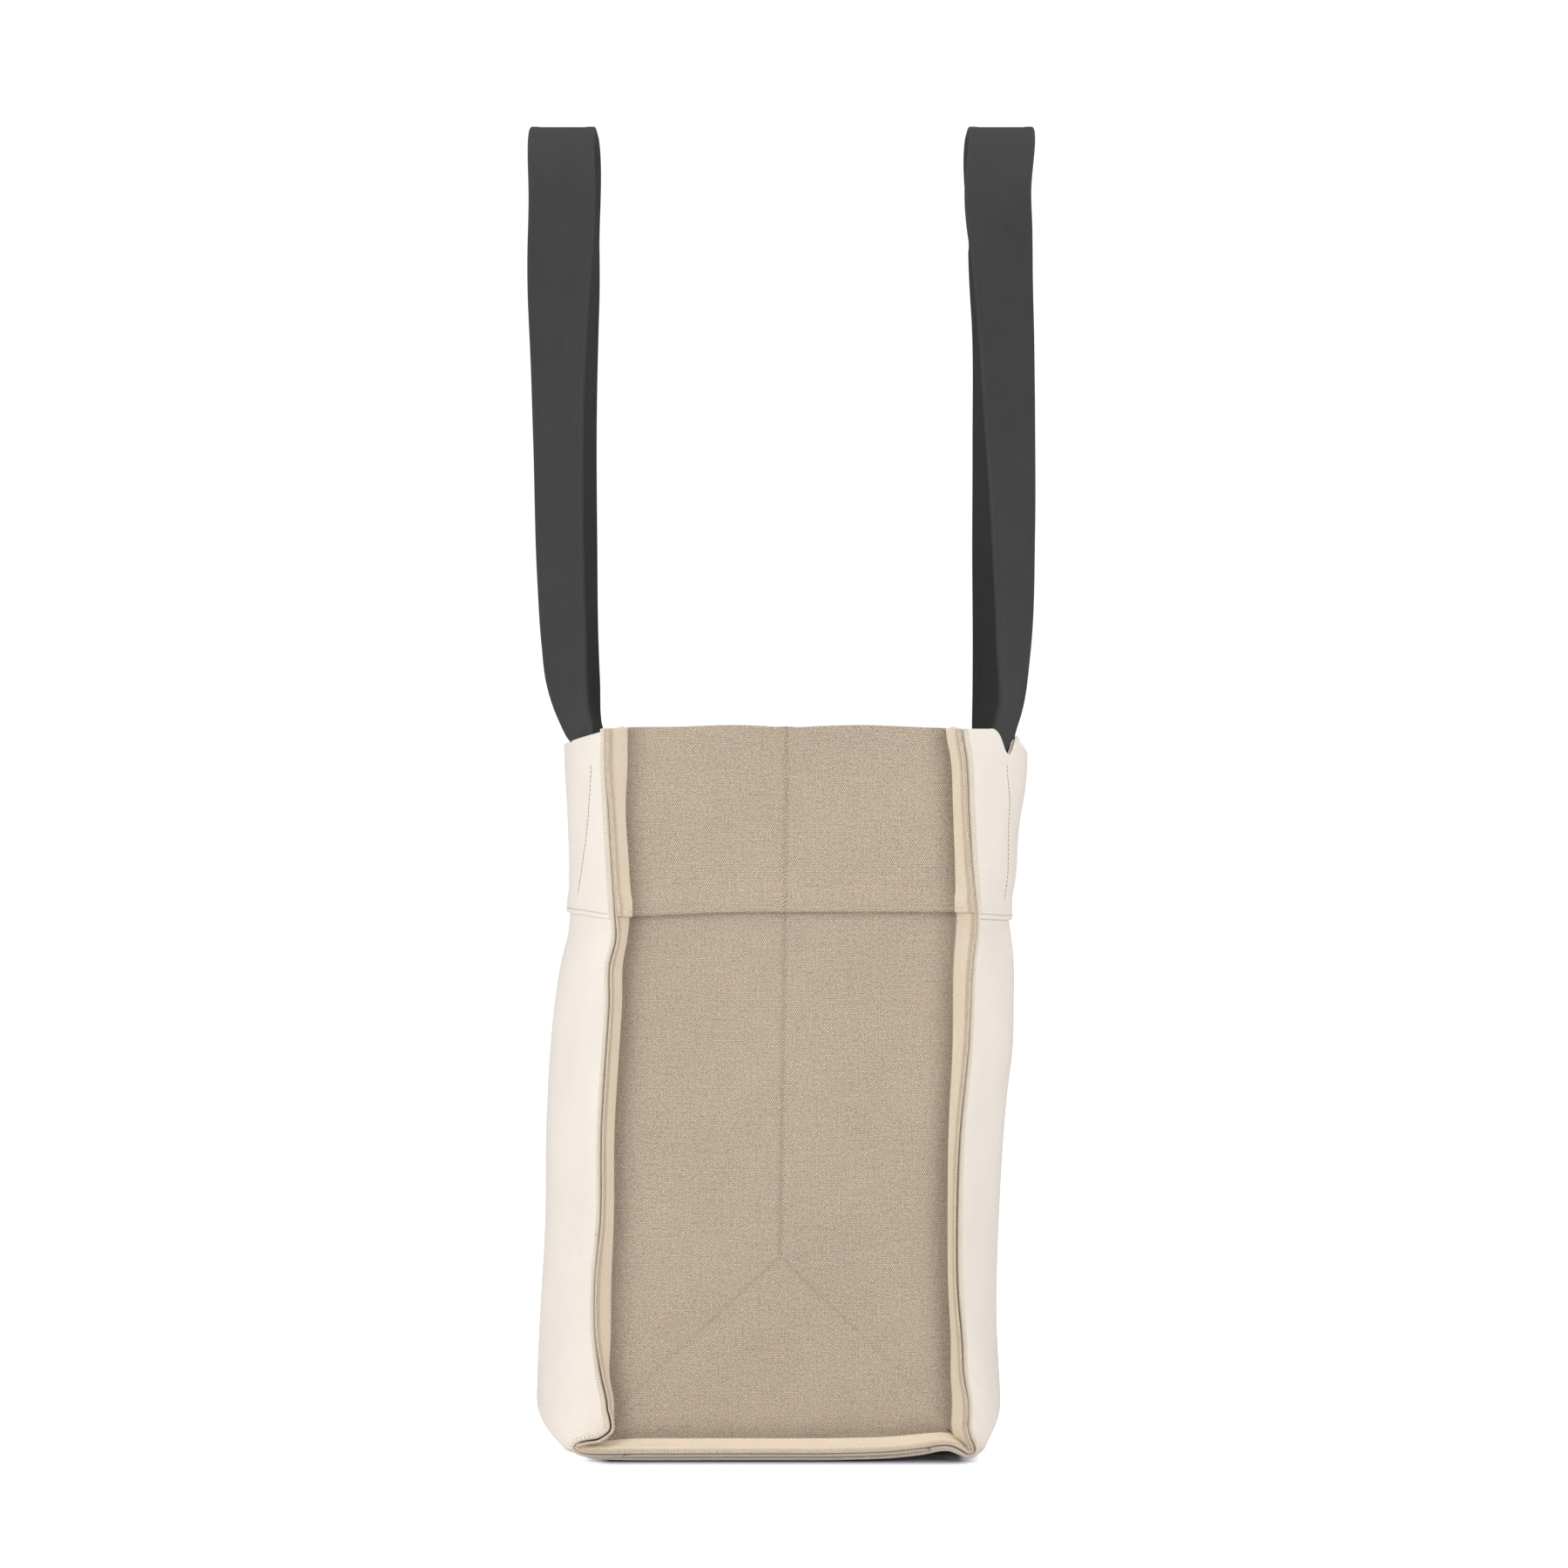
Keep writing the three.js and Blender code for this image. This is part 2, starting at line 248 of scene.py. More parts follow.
def gusset_surface(end):
    """w runs up the gusset and u across it, both in metres and beyond the seams by the lips."""

    def surface(w, u):
        radius = CORNER_AT_END
        du = np.abs(u) - (HALF_GUSSET - radius)
        dw = (END_LIFT + radius) - w
        in_corner = (du > 0) & (dw > 0)
        most, least = np.maximum(du, dw), np.minimum(du, dw)
        share = np.where(in_corner, least / np.maximum(most, 1e-9), 0) * math.pi / 4
        angle = np.where(du >= dw, share, math.pi / 2 - share)
        out_u, out_w = np.cos(angle), -np.sin(angle)
        beyond = np.where(in_corner, most, np.maximum(du, dw)) - radius
        lip = ramp(beyond, GUSSET_BEND)
        flat = beyond - lip  # how far the point is from the seam, as a negative number
        rise = lip * DIAGONAL
        corner_u = HALF_GUSSET - radius + (radius + flat + rise) * out_u
        corner_w = END_LIFT + radius + (radius + flat + rise) * out_w
        side_u = np.where(du >= dw, HALF_GUSSET + flat + rise, np.abs(u))
        side_w = np.where(du >= dw, w, END_LIFT - flat - rise)
        x = np.where(in_corner, corner_u, side_u) * np.sign(u)
        z = np.where(in_corner, corner_w, side_w)
        y = end * (HALF_LENGTH + rise - crease_depth(u, w))
        return np.stack([end * x, y, z], -1)

    return surface


CREASE_JUNCTION = 0.112  # height where the fold lines of the flat bag meet
CREASE_TOP, CREASE_LOW = -0.0014, 0.0021  # how far aside the upright one is at the rim, and there
CREASE_LEAN = (CREASE_TOP - CREASE_LOW) / (RIM - CREASE_JUNCTION)
SHARP_CREASE, BROAD_CREASE = 0.00035, 0.0009  # depths of a crease's line and of the dent around it
RIM_DIMPLE = 0.0010  # how much deeper the upright one is at the rim


def crease_depth(u, w):
    """The fold lines that the bag keeps from lying flat: one down the middle of the gusset, and two
    from its foot to the lower corners."""
    middle = CREASE_LOW + (w - CREASE_JUNCTION) * CREASE_LEAN
    upright = np.abs(u - middle)
    slanted = np.abs((CREASE_JUNCTION - w) - np.abs(u - CREASE_LOW)) * DIAGONAL
    above = smooth(w, CREASE_JUNCTION - 0.004, CREASE_JUNCTION + 0.004)
    reach = smooth(np.abs(u), HALF_GUSSET - 0.005, HALF_GUSSET - 0.035) * smooth(w, 0.03, 0.06)
    sharp = above * hump(upright, 0, 0.0010) + (1 - above) * hump(slanted, 0, 0.0026) * 0.5
    broad = above * hump(upright, 0, 0.012) + (1 - above) * hump(slanted, 0, 0.012)
    dimple = RIM_DIMPLE * hump(u, middle, 0.006) * smooth(w, RIM - 0.02, RIM)
    return reach * (SHARP_CREASE * sharp + BROAD_CREASE * broad) + dimple


# ---- how the real bag's seams wander ------------------------------------------------------------

# Each near seam by height: how far along X its root, where the gusset turns, and its edge are
# shifted from the even shape.
SEAMS = {
    FRONT: [(0.030, -0.0052, 0.0006), (0.047, -0.0075, -0.0027), (0.066, -0.0066, -0.0058),
            (0.095, -0.0062, -0.0065), (0.133, -0.0049, -0.0032), (0.180, -0.0046, -0.0027),
            (0.228, -0.0018, 0.0001), (0.252, -0.0004, 0.0016), (0.276, 0.0001, 0.0020),
            (0.290, 0.0023, 0.0052), (0.306, 0.0040, 0.0045), (0.328, 0.0030, 0.0030),
            (0.357, 0.0011, 0.0011), (0.385, 0.0025, -0.0008)],
    BACK: [(0.019, 0.0032, 0.0036), (0.033, 0.0036, 0.0036), (0.047, 0.0030, 0.0012),
           (0.066, 0.0031, 0.0001), (0.095, 0.0018, -0.0023), (0.133, 0.0015, -0.0027),
           (0.180, 0.0018, -0.0008), (0.228, 0.0039, 0.0039), (0.276, 0.0044, 0.0063),
           (0.297, 0.0058, 0.0085), (0.328, 0.0058, 0.0058), (0.357, 0.0049, 0.0039),
           (0.385, 0.0037, 0.0027), (0.403, 0.0010, 0.0004)],
}

# Each near lower corner, where the cloth has been dragged out of shape: a distance along the seam
# (0 where the corner starts, below the wall), and the root's and the edge's x and z there.
FLANGE = LIP * DIAGONAL  # how far a lip reaches out sideways, and forwards
TURN = CORNER_AT_END + FLANGE
CORNER_LENGTH = TURN * math.pi / 2
DRAGGED = {
    FRONT: [(-0.008, (-0.0943, 0.0245), (-0.0955, 0.0245)),
            (-0.003, (-0.0942, 0.0185), (-0.0948, 0.0195)),
            (0.002, (-0.0955, 0.0145), (-0.0968, 0.0160)),
            (0.006, (-0.0985, 0.0118), (-0.1020, 0.0128)),
            (0.010, (-0.1030, 0.0103), (-0.1085, 0.0118)),
            (0.013, (-0.1080, 0.0090), (-0.1135, 0.0103)),
            (0.0155, (-0.1070, 0.0085), (-0.1153, 0.0080)),
            (0.018, (-0.1020, 0.0090), (-0.1135, 0.0059)),
            (0.022, (-0.0950, 0.0103), (-0.1080, 0.0043)),
            (0.028, (-0.0870, 0.0113), (-0.1000, 0.0040)),
            (0.038, (-0.0740, 0.0117), (-0.0860, 0.0041)),
            (0.055, (-0.0530, 0.0117), (-0.0600, 0.0042)),
            (0.1058, (0.0, 0.0117), (0.0, 0.0043))],
    BACK: [(-0.008, (0.0923, 0.0245), (0.1012, 0.0245)),
           (-0.001, (0.0925, 0.0175), (0.1010, 0.0185)),
           (0.004, (0.0940, 0.0135), (0.1025, 0.0130)),
           (0.008, (0.0970, 0.0105), (0.1042, 0.0095)),
           (0.0115, (0.0998, 0.0078), (0.1046, 0.0068)),
           (0.014, (0.0990, 0.0082), (0.1033, 0.0048)),
           (0.017, (0.0960, 0.0110), (0.1005, 0.0041)),
           (0.020, (0.0925, 0.0135), (0.0970, 0.0062)),
           (0.024, (0.0880, 0.0148), (0.0925, 0.0084)),
           (0.030, (0.0810, 0.0146), (0.0860, 0.0090)),
           (0.038, (0.0720, 0.0138), (0.0775, 0.0076)),
           (0.050, (0.0580, 0.0126), (0.0610, 0.0057)),
           (0.070, (0.0360, 0.0119), (0.0370, 0.0046)),
           (0.1058, (0.0, 0.0117), (0.0, 0.0043))],
}
DRAG_REACH = 0.028  # how far from its end the bag is dragged along
SEAM_REACH = 0.045  # how far from a seam a main panel wanders with it
HEM_SAG = 0.0024  # how much lower the hems hang by one seam of an end, and by the other twice that

# Shift of a main panel's rim by distance from the bag's middle: it dips where a strap bears on it.
RIM_SHIFT = {
    (BACK, RIGHT): [(0.0, 0.0015), (0.030, 0.0021), (0.052, 0.0047), (0.0665, 0.0063),
                    (0.072, 0.0004), (0.077, -0.0033), (0.082, -0.0047), (0.087, -0.0033),
                    (0.0975, 0.0046), (0.103, 0.0063), (0.115, 0.0050), (0.130, 0.0026),
                    (0.150, 0.0)],
    (BACK, LEFT): [(0.0, 0.0015), (0.050, 0.0040), (0.082, -0.0030), (0.100, 0.0045),
                   (0.130, 0.0015), (0.150, 0.0)],
}


def lip_share(y):
    """0 in the walls, 1 at the edge of a lip."""
    return np.clip((np.abs(y) - HALF_LENGTH) / FLANGE, 0, 1)


def distance_from_end(y):
    """Distance from the nearer end seam, along the bag."""
    return np.maximum(HALF_LENGTH - np.abs(y), 0)


def source_of(side, end):
    """The far seams wander as the near ones across from them do."""
    return (side, 1) if end == RIGHT else (-side, -1)


def seam_shift(side, share, z):
    """Shift of a near seam along X."""
    root, edge = (through(z, knots_of(SEAMS[side], k)) for k in (1, 2))
    return lerp(root, edge, share)


def even_seam(side, along, share):
    """Where a near seam would be if its corner were even."""
    angle = np.clip(along / TURN, 0, math.pi / 2)
    reach = CORNER_AT_END + FLANGE * share
    x = HALF_GUSSET - CORNER_AT_END + reach * np.cos(angle) - np.maximum(along - CORNER_LENGTH, 0)
    z = END_LIFT + CORNER_AT_END - reach * np.sin(angle) - np.minimum(along, 0)
    return side * x, z


def drag_knots(side, share):
    """How far the root (share 0) or the edge (share 1) is dragged, by distance along the seam."""
    knots = [(-0.0135, 0.0, 0.0)]
    for along, *targets in DRAGGED[side]:
        x, z = even_seam(side, along, share)
        target_x, target_z = targets[share]
        shift = seam_shift(side, share, z) * min(abs(x) / HALF_GUSSET, 1)
        knots.append((along, target_x - x - shift, target_z - z))
    return knots


DRAG_KNOTS = {(side, share): drag_knots(side, share) for side in (FRONT, BACK) for share in (0, 1)}


def places_on_seam(side, x, z):
    """The places along a seam that a point follows, each with its share, and how closely the point
    follows them: fully outside the gusset, not at all in the gusset's middle."""
    corner_x, corner_z = HALF_GUSSET - CORNER_AT_END, END_LIFT + CORNER_AT_END
    out, down = side * x - corner_x, corner_z - z
    turned = CORNER_LENGTH * np.arctan2(down, out) / (math.pi / 2)
    outside = np.where(down <= 0, down, np.where(out <= 0, CORNER_LENGTH - out, turned))
    hub = 0.030  # rays from a point this far inside the corner give the places of an inner point
    ray_x, ray_z = out + hub, down + hub
    to_wall = (CORNER_AT_END + hub) / np.maximum(ray_x, 1e-6)
    to_base = (CORNER_AT_END + hub) / np.maximum(ray_z, 1e-6)
    on_wall = np.clip(ray_z * to_wall - hub, -0.1, 0)
    on_base = np.clip(CORNER_LENGTH + hub - ray_x * to_base, CORNER_LENGTH, 0.11)
    depth = np.maximum(1 / to_wall, 1 / to_base)
    beyond = smooth(depth, 0.83, 0.95)
    below = (1 - beyond) * smooth(np.arctan2(ray_z, ray_x), 0.45, 1.1)
    places = ((outside, beyond), (on_wall, 1 - beyond - below), (on_base, below))
    return places, smooth(depth, 0.3, 0.93)


def dragged(places, knots, column):
    """The drag in one column of knots at a point's places on the seam."""
    return sum(share * through(along, knots_of(knots, column)) for along, share in places)


def pull_seam(moved, even, side, end):
    """Moves the cloth at an upright seam as the seam wanders, and at the corner below it."""
    x, y, z = np.moveaxis(even, -1, 0)
    share, from_end, here = lip_share(y), distance_from_end(y), y * end > 0
    source, sign = source_of(side, end)
    across = np.clip(side * x / HALF_GUSSET, 0, 1)
    shift = hump(from_end, 0, SEAM_REACH) * across * seam_shift(source, share, z)
    moved[..., 0] += here * sign * shift
    places, taken = places_on_seam(side, x, z)
    on_side = x <= 0 if side == FRONT else x > 0
    taken = taken * hump(from_end, 0, DRAG_REACH) * on_side
    for axis, column, direction in ((0, 1, sign), (2, 2, 1)):
        root, edge = (dragged(places, DRAG_KNOTS[(source, k)], column) for k in (0, 1))
        moved[..., axis] += here * direction * taken * lerp(root, edge, share)


def sag_hem(moved, even):
    """Lowers the top bands' hems near their ends."""
    x, y, z = np.moveaxis(even, -1, 0)
    sag = HEM_SAG + HEM_SAG * smooth(np.sign(y) * x, 0.02, 0.095)
    moved[..., 2] -= sag * hump(distance_from_end(y), 0, 0.050) * hump(z, RIM - BAND, 0.045)


def droop_rim(moved, even):
    """Lowers a gusset's rim at its corners and its crease, and shifts the main panels' rims."""
    x, y, z = np.moveaxis(even, -1, 0)
    at_rim = smooth(z, RIM - 0.03, RIM) * smooth(np.abs(y), HALF_LENGTH - 0.003, HALF_LENGTH)
    at_corners = 0.0012 * np.clip(np.abs(x) / HALF_GUSSET, 0, 1.2) ** 6
    at_crease = 0.0009 * hump(x, 0.002, 0.010)
    ripple = 0.0004 * np.sin(90 * x + 1.0)
    moved[..., 2] -= at_rim * (at_corners + at_crease + ripple)
    for (side, end), knots in RIM_SHIFT.items():
        raised = through(np.abs(y), knots) * smooth(z, 0.340, 0.385)
        moved[..., 2] += np.where((side * x > HALF_GUSSET) & (y * end > 0), raised, 0)


def slump(points):
    """Moves points of the even, sewn shape to where the soft bag really has them."""
    moved = points.copy()
    for side in (FRONT, BACK):
        for end in (RIGHT, LEFT):
            pull_seam(moved, points, side, end)
    sag_hem(moved, points)
    droop_rim(moved, points)
    return moved


# ---- making a cloth's mesh ----------------------------------------------------------------------


def unit(vectors):
    return vectors / np.maximum(np.linalg.norm(vectors, axis=-1, keepdims=True), 1e-12)


def tangents(points, axis):
    """Unit tangents of a grid of points along one of its axes."""
    steps = unit(np.diff(points, axis=axis))
    first, last = np.take(steps, [0], axis), np.take(steps, [-1], axis)
    return unit(np.concatenate([first, steps], axis) + np.concatenate([steps, last], axis))


def lengths(points, axis):
    """Distance travelled along a grid of points, from its first row or column."""
    steps = np.linalg.norm(np.diff(points, axis=axis), axis=-1)
    start = np.zeros_like(np.take(steps, [0], axis))
    return np.concatenate([start, np.cumsum(steps, axis)], axis)


def shell_faces(rows, columns):
    """Quads of two grids of points, one on the other, closed round their border."""
    index = np.arange(2 * rows * columns).reshape(2, rows, columns)
    top, under = index
    quads = []
    for grid, order in ((top, (0, 1, 2, 3)), (under, (0, 3, 2, 1))):
        corners = [grid[:-1, :-1], grid[1:, :-1], grid[1:, 1:], grid[:-1, 1:]]
        quads.append(np.stack([corners[k].ravel() for k in order], -1))
    for grid_row, other_row in ((top[0], under[0]), (under[-1], top[-1]),
                                (under[:, 0], top[:, 0]), (top[:, -1], under[:, -1])):
        quads.append(np.stack([grid_row[:-1], grid_row[1:], other_row[1:], other_row[:-1]], -1))
    return np.concatenate(quads).tolist()


def tube_faces(rings, sides):
    """Faces of a tube of rings of points, with its ends closed."""
    index = np.arange(rings * sides).reshape(rings, sides)
    turned = np.roll(index, -1, 1)
    walls = np.stack([index[:-1], turned[:-1], turned[1:], index[1:]], -1).reshape(-1, 4)
    return walls.tolist() + [index[0][::-1].tolist(), index[-1].tolist()]


def new_object(name, points, faces, material):
    mesh = bpy.data.meshes.new(name)
    mesh.from_pydata(points.tolist(), [], faces)
    mesh.validate()
    mesh.update()
    mesh.shade_smooth()
    mesh.materials.append(material)
    made = bpy.data.objects.new(name, mesh)
    bpy.context.scene.collection.objects.link(made)
    return made


def set_map(made, name, uv):
    layer = made.data.uv_layers.new(name=name)
    corners = np.empty(len(made.data.loops), np.int32)
    made.data.loops.foreach_get("vertex_index", corners)
    layer.data.foreach_set("uv", uv[corners].astype(np.float32).ravel())


def set_share(made, name, values):
    attribute = made.data.attributes.new(name, "FLOAT", "POINT")
    attribute.data.foreach_set("value", values.astype(np.float32))


def rounded_thickness(distance, thickness, reach):
    """Thickness of a cloth at a distance from an edge that is folded to a thickness over reach,
    and how much of it is left where the edge is rounded off."""
    body = lerp(thickness, CLOTH, smooth(distance, reach, reach * 1.5 + 0.001))
    radius = thickness / 2
    left = np.sqrt(np.clip(1 - (1 - np.clip(distance / radius, 0, 1)) ** 2, 0.02, 1))
    return body, left


def face_offsets(near_side, away, edges):
    """How far out the outer and the inner face of a cloth are, from where its inner face is when
    it is not folded."""
    thickness, left = CLOTH, 1
    for edge, (fold, reach) in edges.items():
        here, left_here = rounded_thickness(away[edge], fold, reach)
        thickness = np.maximum(thickness, here)
        left = left * left_here
    return near_side + thickness / 2 * (1 + left), near_side + thickness / 2 * (1 - left)


def thickened(surface, offsets):
    """The points of a cloth's two faces, none of them below the floor."""
    normals = unit(np.cross(tangents(surface, 0), tangents(surface, 1)))
    both = np.stack([surface + normals * offset[..., None] for offset in offsets])
    both[..., 2] = np.maximum(both[..., 2], 0)
    return both.reshape(-1, 3)


def mark(made, share, away, edges):
    """Marks a cloth's lips, their folded edges, the slits between them and the valleys at them."""
    set_share(made, "lip", np.tile(smooth(share, 0.0, 0.12), 2))
    set_share(made, "fold", np.tile(smooth(share, 0.72, 0.82), 2))
    from_edge = np.min([away[edge] for edge in edges], axis=0).ravel()
    # Painted shade mask: the lips' inner faces, except right at their edges, painted brown for the
    # shade between them.
    hidden = smooth(share, 0.0, 0.4) * smooth(from_edge, 0.0004, 0.0025)
    set_share(made, "slit", np.concatenate([np.zeros_like(hidden), hidden]))
    lips = [away[edge] for edge, (_, reach) in edges.items() if reach == ROPE_REACH]
    from_root = np.maximum(np.min(lips, axis=0).ravel() - LIP, 0)
    # Painted shade mask: the cloth beside each seam's root, which the gusset paints darker for the
    # shade its lips cast.
    valley = np.where(share > 0, 0, hump(from_root, 0, VALLEY_REACH))
    set_share(made, "valley", np.tile(valley, 2))


def cloth(name, surface, rows, columns, layer, edges, material, parting=PARTING):
    """A sheet of cloth over surface(row, column), with a map "cloth" in metres along its two
    threads, which its weave follows, and a map "plan" of its columns and rows. edges gives
    (thickness, reach) of the fold along its "first" row, its "last" row and its "sides". parting
    is how far its lips stand off."""
    r, c = np.meshgrid(rows, columns, indexing="ij")
    even = surface(r, c)
    down, across = lengths(even, 0), lengths(even, 1)
    away = {
        "first": down,
        "last": down[-1:] - down,
        "sides": np.minimum(across, across[:, -1:] - across),
    }
    share = lip_share(even[..., 1])
    near_side = layer - CLOTH / 2 + parting * smooth(share, 0.3, 1)
    points = thickened(slump(even), face_offsets(near_side, away, edges))
    made = new_object(name, points, shell_faces(*r.shape), material)
    for map_name, pair in (("cloth", (across, down)), ("plan", (c, r))):
        uv = np.stack(pair, -1).reshape(-1, 2)
        set_map(made, map_name, np.concatenate([uv, uv]))
    mark(made, share.ravel(), away, edges)
    return made


# ---- materials ----------------------------------------------------------------------------------


class Graph:
    """Short ways of adding nodes to a material."""

    def __init__(self, name, roughness, sheen=0.0):
        self.material = bpy.data.materials.new(name)
        self.material.use_nodes = True
        self.tree = self.material.node_tree
        self.shader = self.tree.nodes["Principled BSDF"]
        self.shader.inputs["Roughness"].default_value = roughness
        self.shader.inputs["Specular IOR Level"].default_value = 0.25
        self.shader.inputs["Sheen Weight"].default_value = sheen
        self.shader.inputs["Sheen Roughness"].default_value = 0.6

    def put(self, socket, value):
        if isinstance(value, bpy.types.NodeSocket):
            self.tree.links.new(value, socket)
        else:
            socket.default_value = value

    def node(self, kind, values=(), **settings):
        made = self.tree.nodes.new(kind)
        for key, value in settings.items():
            setattr(made, key, value)
        for key, value in dict(values).items():
            self.put(made.inputs[key], value)
        return made

    def math(self, operation, a, b=0.0, c=0.0):
        made = self.node("ShaderNodeMath", operation=operation)
        for socket, value in zip(made.inputs, (a, b, c)):
            self.put(socket, value)
        return made.outputs[0]

    def mix(self, factor, a, b, blend="MIX"):
        made = self.node("ShaderNodeMix", data_type="RGBA", blend_type=blend)
        self.put(made.inputs[0], factor)
        self.put(made.inputs[6], a)
        self.put(made.inputs[7], b)
        return made.outputs[2]

    def noise(self, vector, scale, detail=2.0):
        made = self.node(
            "ShaderNodeTexNoise", {"Vector": vector, "Scale": scale, "Detail": detail}
        )
        return made.outputs[0]

    def vector(self, operation, a, b=(0.0, 0.0, 0.0)):
        return self.node("ShaderNodeVectorMath", {0: a, 1: b}, operation=operation).outputs[0]

    def scaled(self, vector, factors):
        return self.vector("MULTIPLY", vector, factors)

    def faded(self, value, strength):
        """The value where strength is 1, and 1 where it is 0."""
        return self.math("MULTIPLY_ADD", self.math("SUBTRACT", value, 1.0), strength, 1.0)

    def spread(self, value, low, high):
        """Maps 0.35..0.65, where a noise mostly lies, to low..high."""
        made = self.node(
            "ShaderNodeMapRange", {0: value, 1: 0.35, 2: 0.65, 3: low, 4: high}, clamp=True
        )
        return made.outputs[0]

    def bump(self, height, distance, strength):
        """Raises the surface by a height, 0 to 1, times a distance."""
        made = self.node(
            "ShaderNodeBump", {"Height": height, "Distance": distance, "Strength": strength}
        )
        self.put(self.shader.inputs["Normal"], made.outputs[0])

    def share(self, name):
        return self.node("ShaderNodeAttribute", attribute_name=name).outputs["Fac"]


def colour(red, green, blue):
    """An sRGB colour, 0 to 255, as linear RGBA."""
    linear = [((v / 255 + 0.055) / 1.055) ** 2.4 for v in (red, green, blue)]
    return (*linear, 1.0)


def plain_weave(graph, cell):
    """Yarns crossing over and under each other: the place on the cloth, how high the cloth is
    there, 0 to 1, and how far the yarns along it are on top, -1 to 1."""
    position = graph.node("ShaderNodeUVMap", uv_map="cloth").outputs[0]
    drift = graph.scaled(graph.noise(position, 90.0), (0.0011, 0.0011, 0.0))
    position = graph.vector("ADD", position, drift)
    parts = graph.node("ShaderNodeSeparateXYZ", {0: position})
    product = crossed_waves(graph, parts.outputs[0], parts.outputs[1], cell)
    height = graph.math("POWER", graph.math("ABSOLUTE", product), 0.5)
    return position, height, product


CANVAS_CELL = (0.00061, 0.0010)  # width of a yarn, across and down the cloth
STRAP_CELL = (0.00045, 0.00045)


def crossed_waves(graph, first, second, cell):
    waves = [
        graph.math("SINE", graph.math("MULTIPLY", place, math.pi / pitch))
        for place, pitch in zip((first, second), cell)
    ]
    return graph.math("MULTIPLY", *waves)


def braid(graph, position, pitch=0.0012):
    """The slanting yarns seen along a folded edge, 0 to 1."""
    parts = graph.node("ShaderNodeSeparateXYZ", {0: position})
    sum_, difference = (graph.math(kind, *parts.outputs[:2]) for kind in ("ADD", "SUBTRACT"))
    product = crossed_waves(graph, sum_, difference, (pitch, pitch))
    return graph.math("POWER", graph.math("ABSOLUTE", product), 0.6)


def brightened(graph, tone, value):
    grey = graph.node("ShaderNodeCombineColor", {0: value, 1: value, 2: value}).outputs[0]
    return graph.mix(1.0, tone, grey, "MULTIPLY")


def crease_line(graph):
    """1 along the lines where the flat bag folds, falling to 0 a few millimetres aside."""
    plan = graph.node("ShaderNodeUVMap", uv_map="plan").outputs[0]
    aside, height = graph.node("ShaderNodeSeparateXYZ", {0: plan}).outputs[:2]
    above = graph.math("SUBTRACT", height, CREASE_JUNCTION)
    middle = graph.math("MULTIPLY_ADD", above, CREASE_LEAN, CREASE_LOW)
    upright = graph.math("ABSOLUTE", graph.math("SUBTRACT", aside, middle))
    reach = graph.math("ABSOLUTE", graph.math("SUBTRACT", aside, CREASE_LOW))
    slanted = graph.math("ABSOLUTE", graph.math("ADD", above, reach))
    is_above = graph.math("GREATER_THAN", above, 0.0)
    distance = graph.mix(is_above, slanted, upright)
    line = graph.node("ShaderNodeMapRange", {0: distance, 1: 0.0, 2: 0.0028, 3: 1.0, 4: 0.0},
                      interpolation_type="SMOOTHSTEP").outputs[0]
    fading = graph.node("ShaderNodeMapRange", {0: height, 1: 0.02, 2: 0.13, 3: 0.25, 4: 1.0})
    return graph.math("MULTIPLY", line, fading.outputs[0])


def woven_shade(graph, height, product, lip, weave):
    """How bright the yarns are between their crossings, fainter on the lips."""
    crossing = graph.math("MULTIPLY_ADD", product, 0.36, 0.30)
    woven = graph.math("MULTIPLY_ADD", height, 0.50, crossing)
    return graph.faded(woven, graph.math("MULTIPLY_ADD", lip, -0.85 * weave, weave))


def unevenness(graph, position, yarns, lip, uneven):
    """How bright each yarn and each place of the cloth is, calmer on the lips."""
    lumps = graph.noise(position, 600.0, 1.0)
    grains = graph.noise(position, 1400.0, 1.0)
    cloud = graph.spread(graph.noise(position, 14.0, 3.0), -0.025, 0.025)
    value = graph.math("ADD", cloud, 1.0)
    sources = [(yarn, uneven) for yarn in yarns] + [(lumps, 2 * uneven), (grains, 6 * uneven)]
    for source, amount in sources:
        value = graph.math("ADD", value, graph.spread(source, -amount, amount))
    return graph.faded(value, graph.math("MULTIPLY_ADD", lip, -0.8, 1.0))


# Painted shade: the brown that the lips' inner faces are painted, for the shade in the slit between
# them.
SLIT_SHADE_BROWN = colour(146, 112, 76)
FLECK_BROWN = colour(150, 112, 66)


def with_painted_shade_and_flecks(graph, tone, position, dark, valley, crease):
    """A tone with painted shade beside the seams, along the creases and between the lips, and
    flecked.
    """
    if valley:
        # painted shade beside the seams
        tone = graph.mix(graph.math("MULTIPLY", graph.share("valley"), valley), tone, dark)
    if crease:
        # painted shade along the fold lines
        tone = graph.mix(graph.math("MULTIPLY", crease_line(graph), crease), tone, dark)
    # painted shade on the lips' inner faces, in the slit between them
    tone = graph.mix(graph.math("MULTIPLY", graph.share("slit"), 0.75), tone, SLIT_SHADE_BROWN)
    specks = graph.noise(position, 420.0, 1.0)
    fleck = graph.node("ShaderNodeMapRange", {0: specks, 1: 0.775, 2: 0.80, 3: 0.0, 4: 0.55})
    return graph.mix(fleck.outputs[0], tone, FLECK_BROWN)


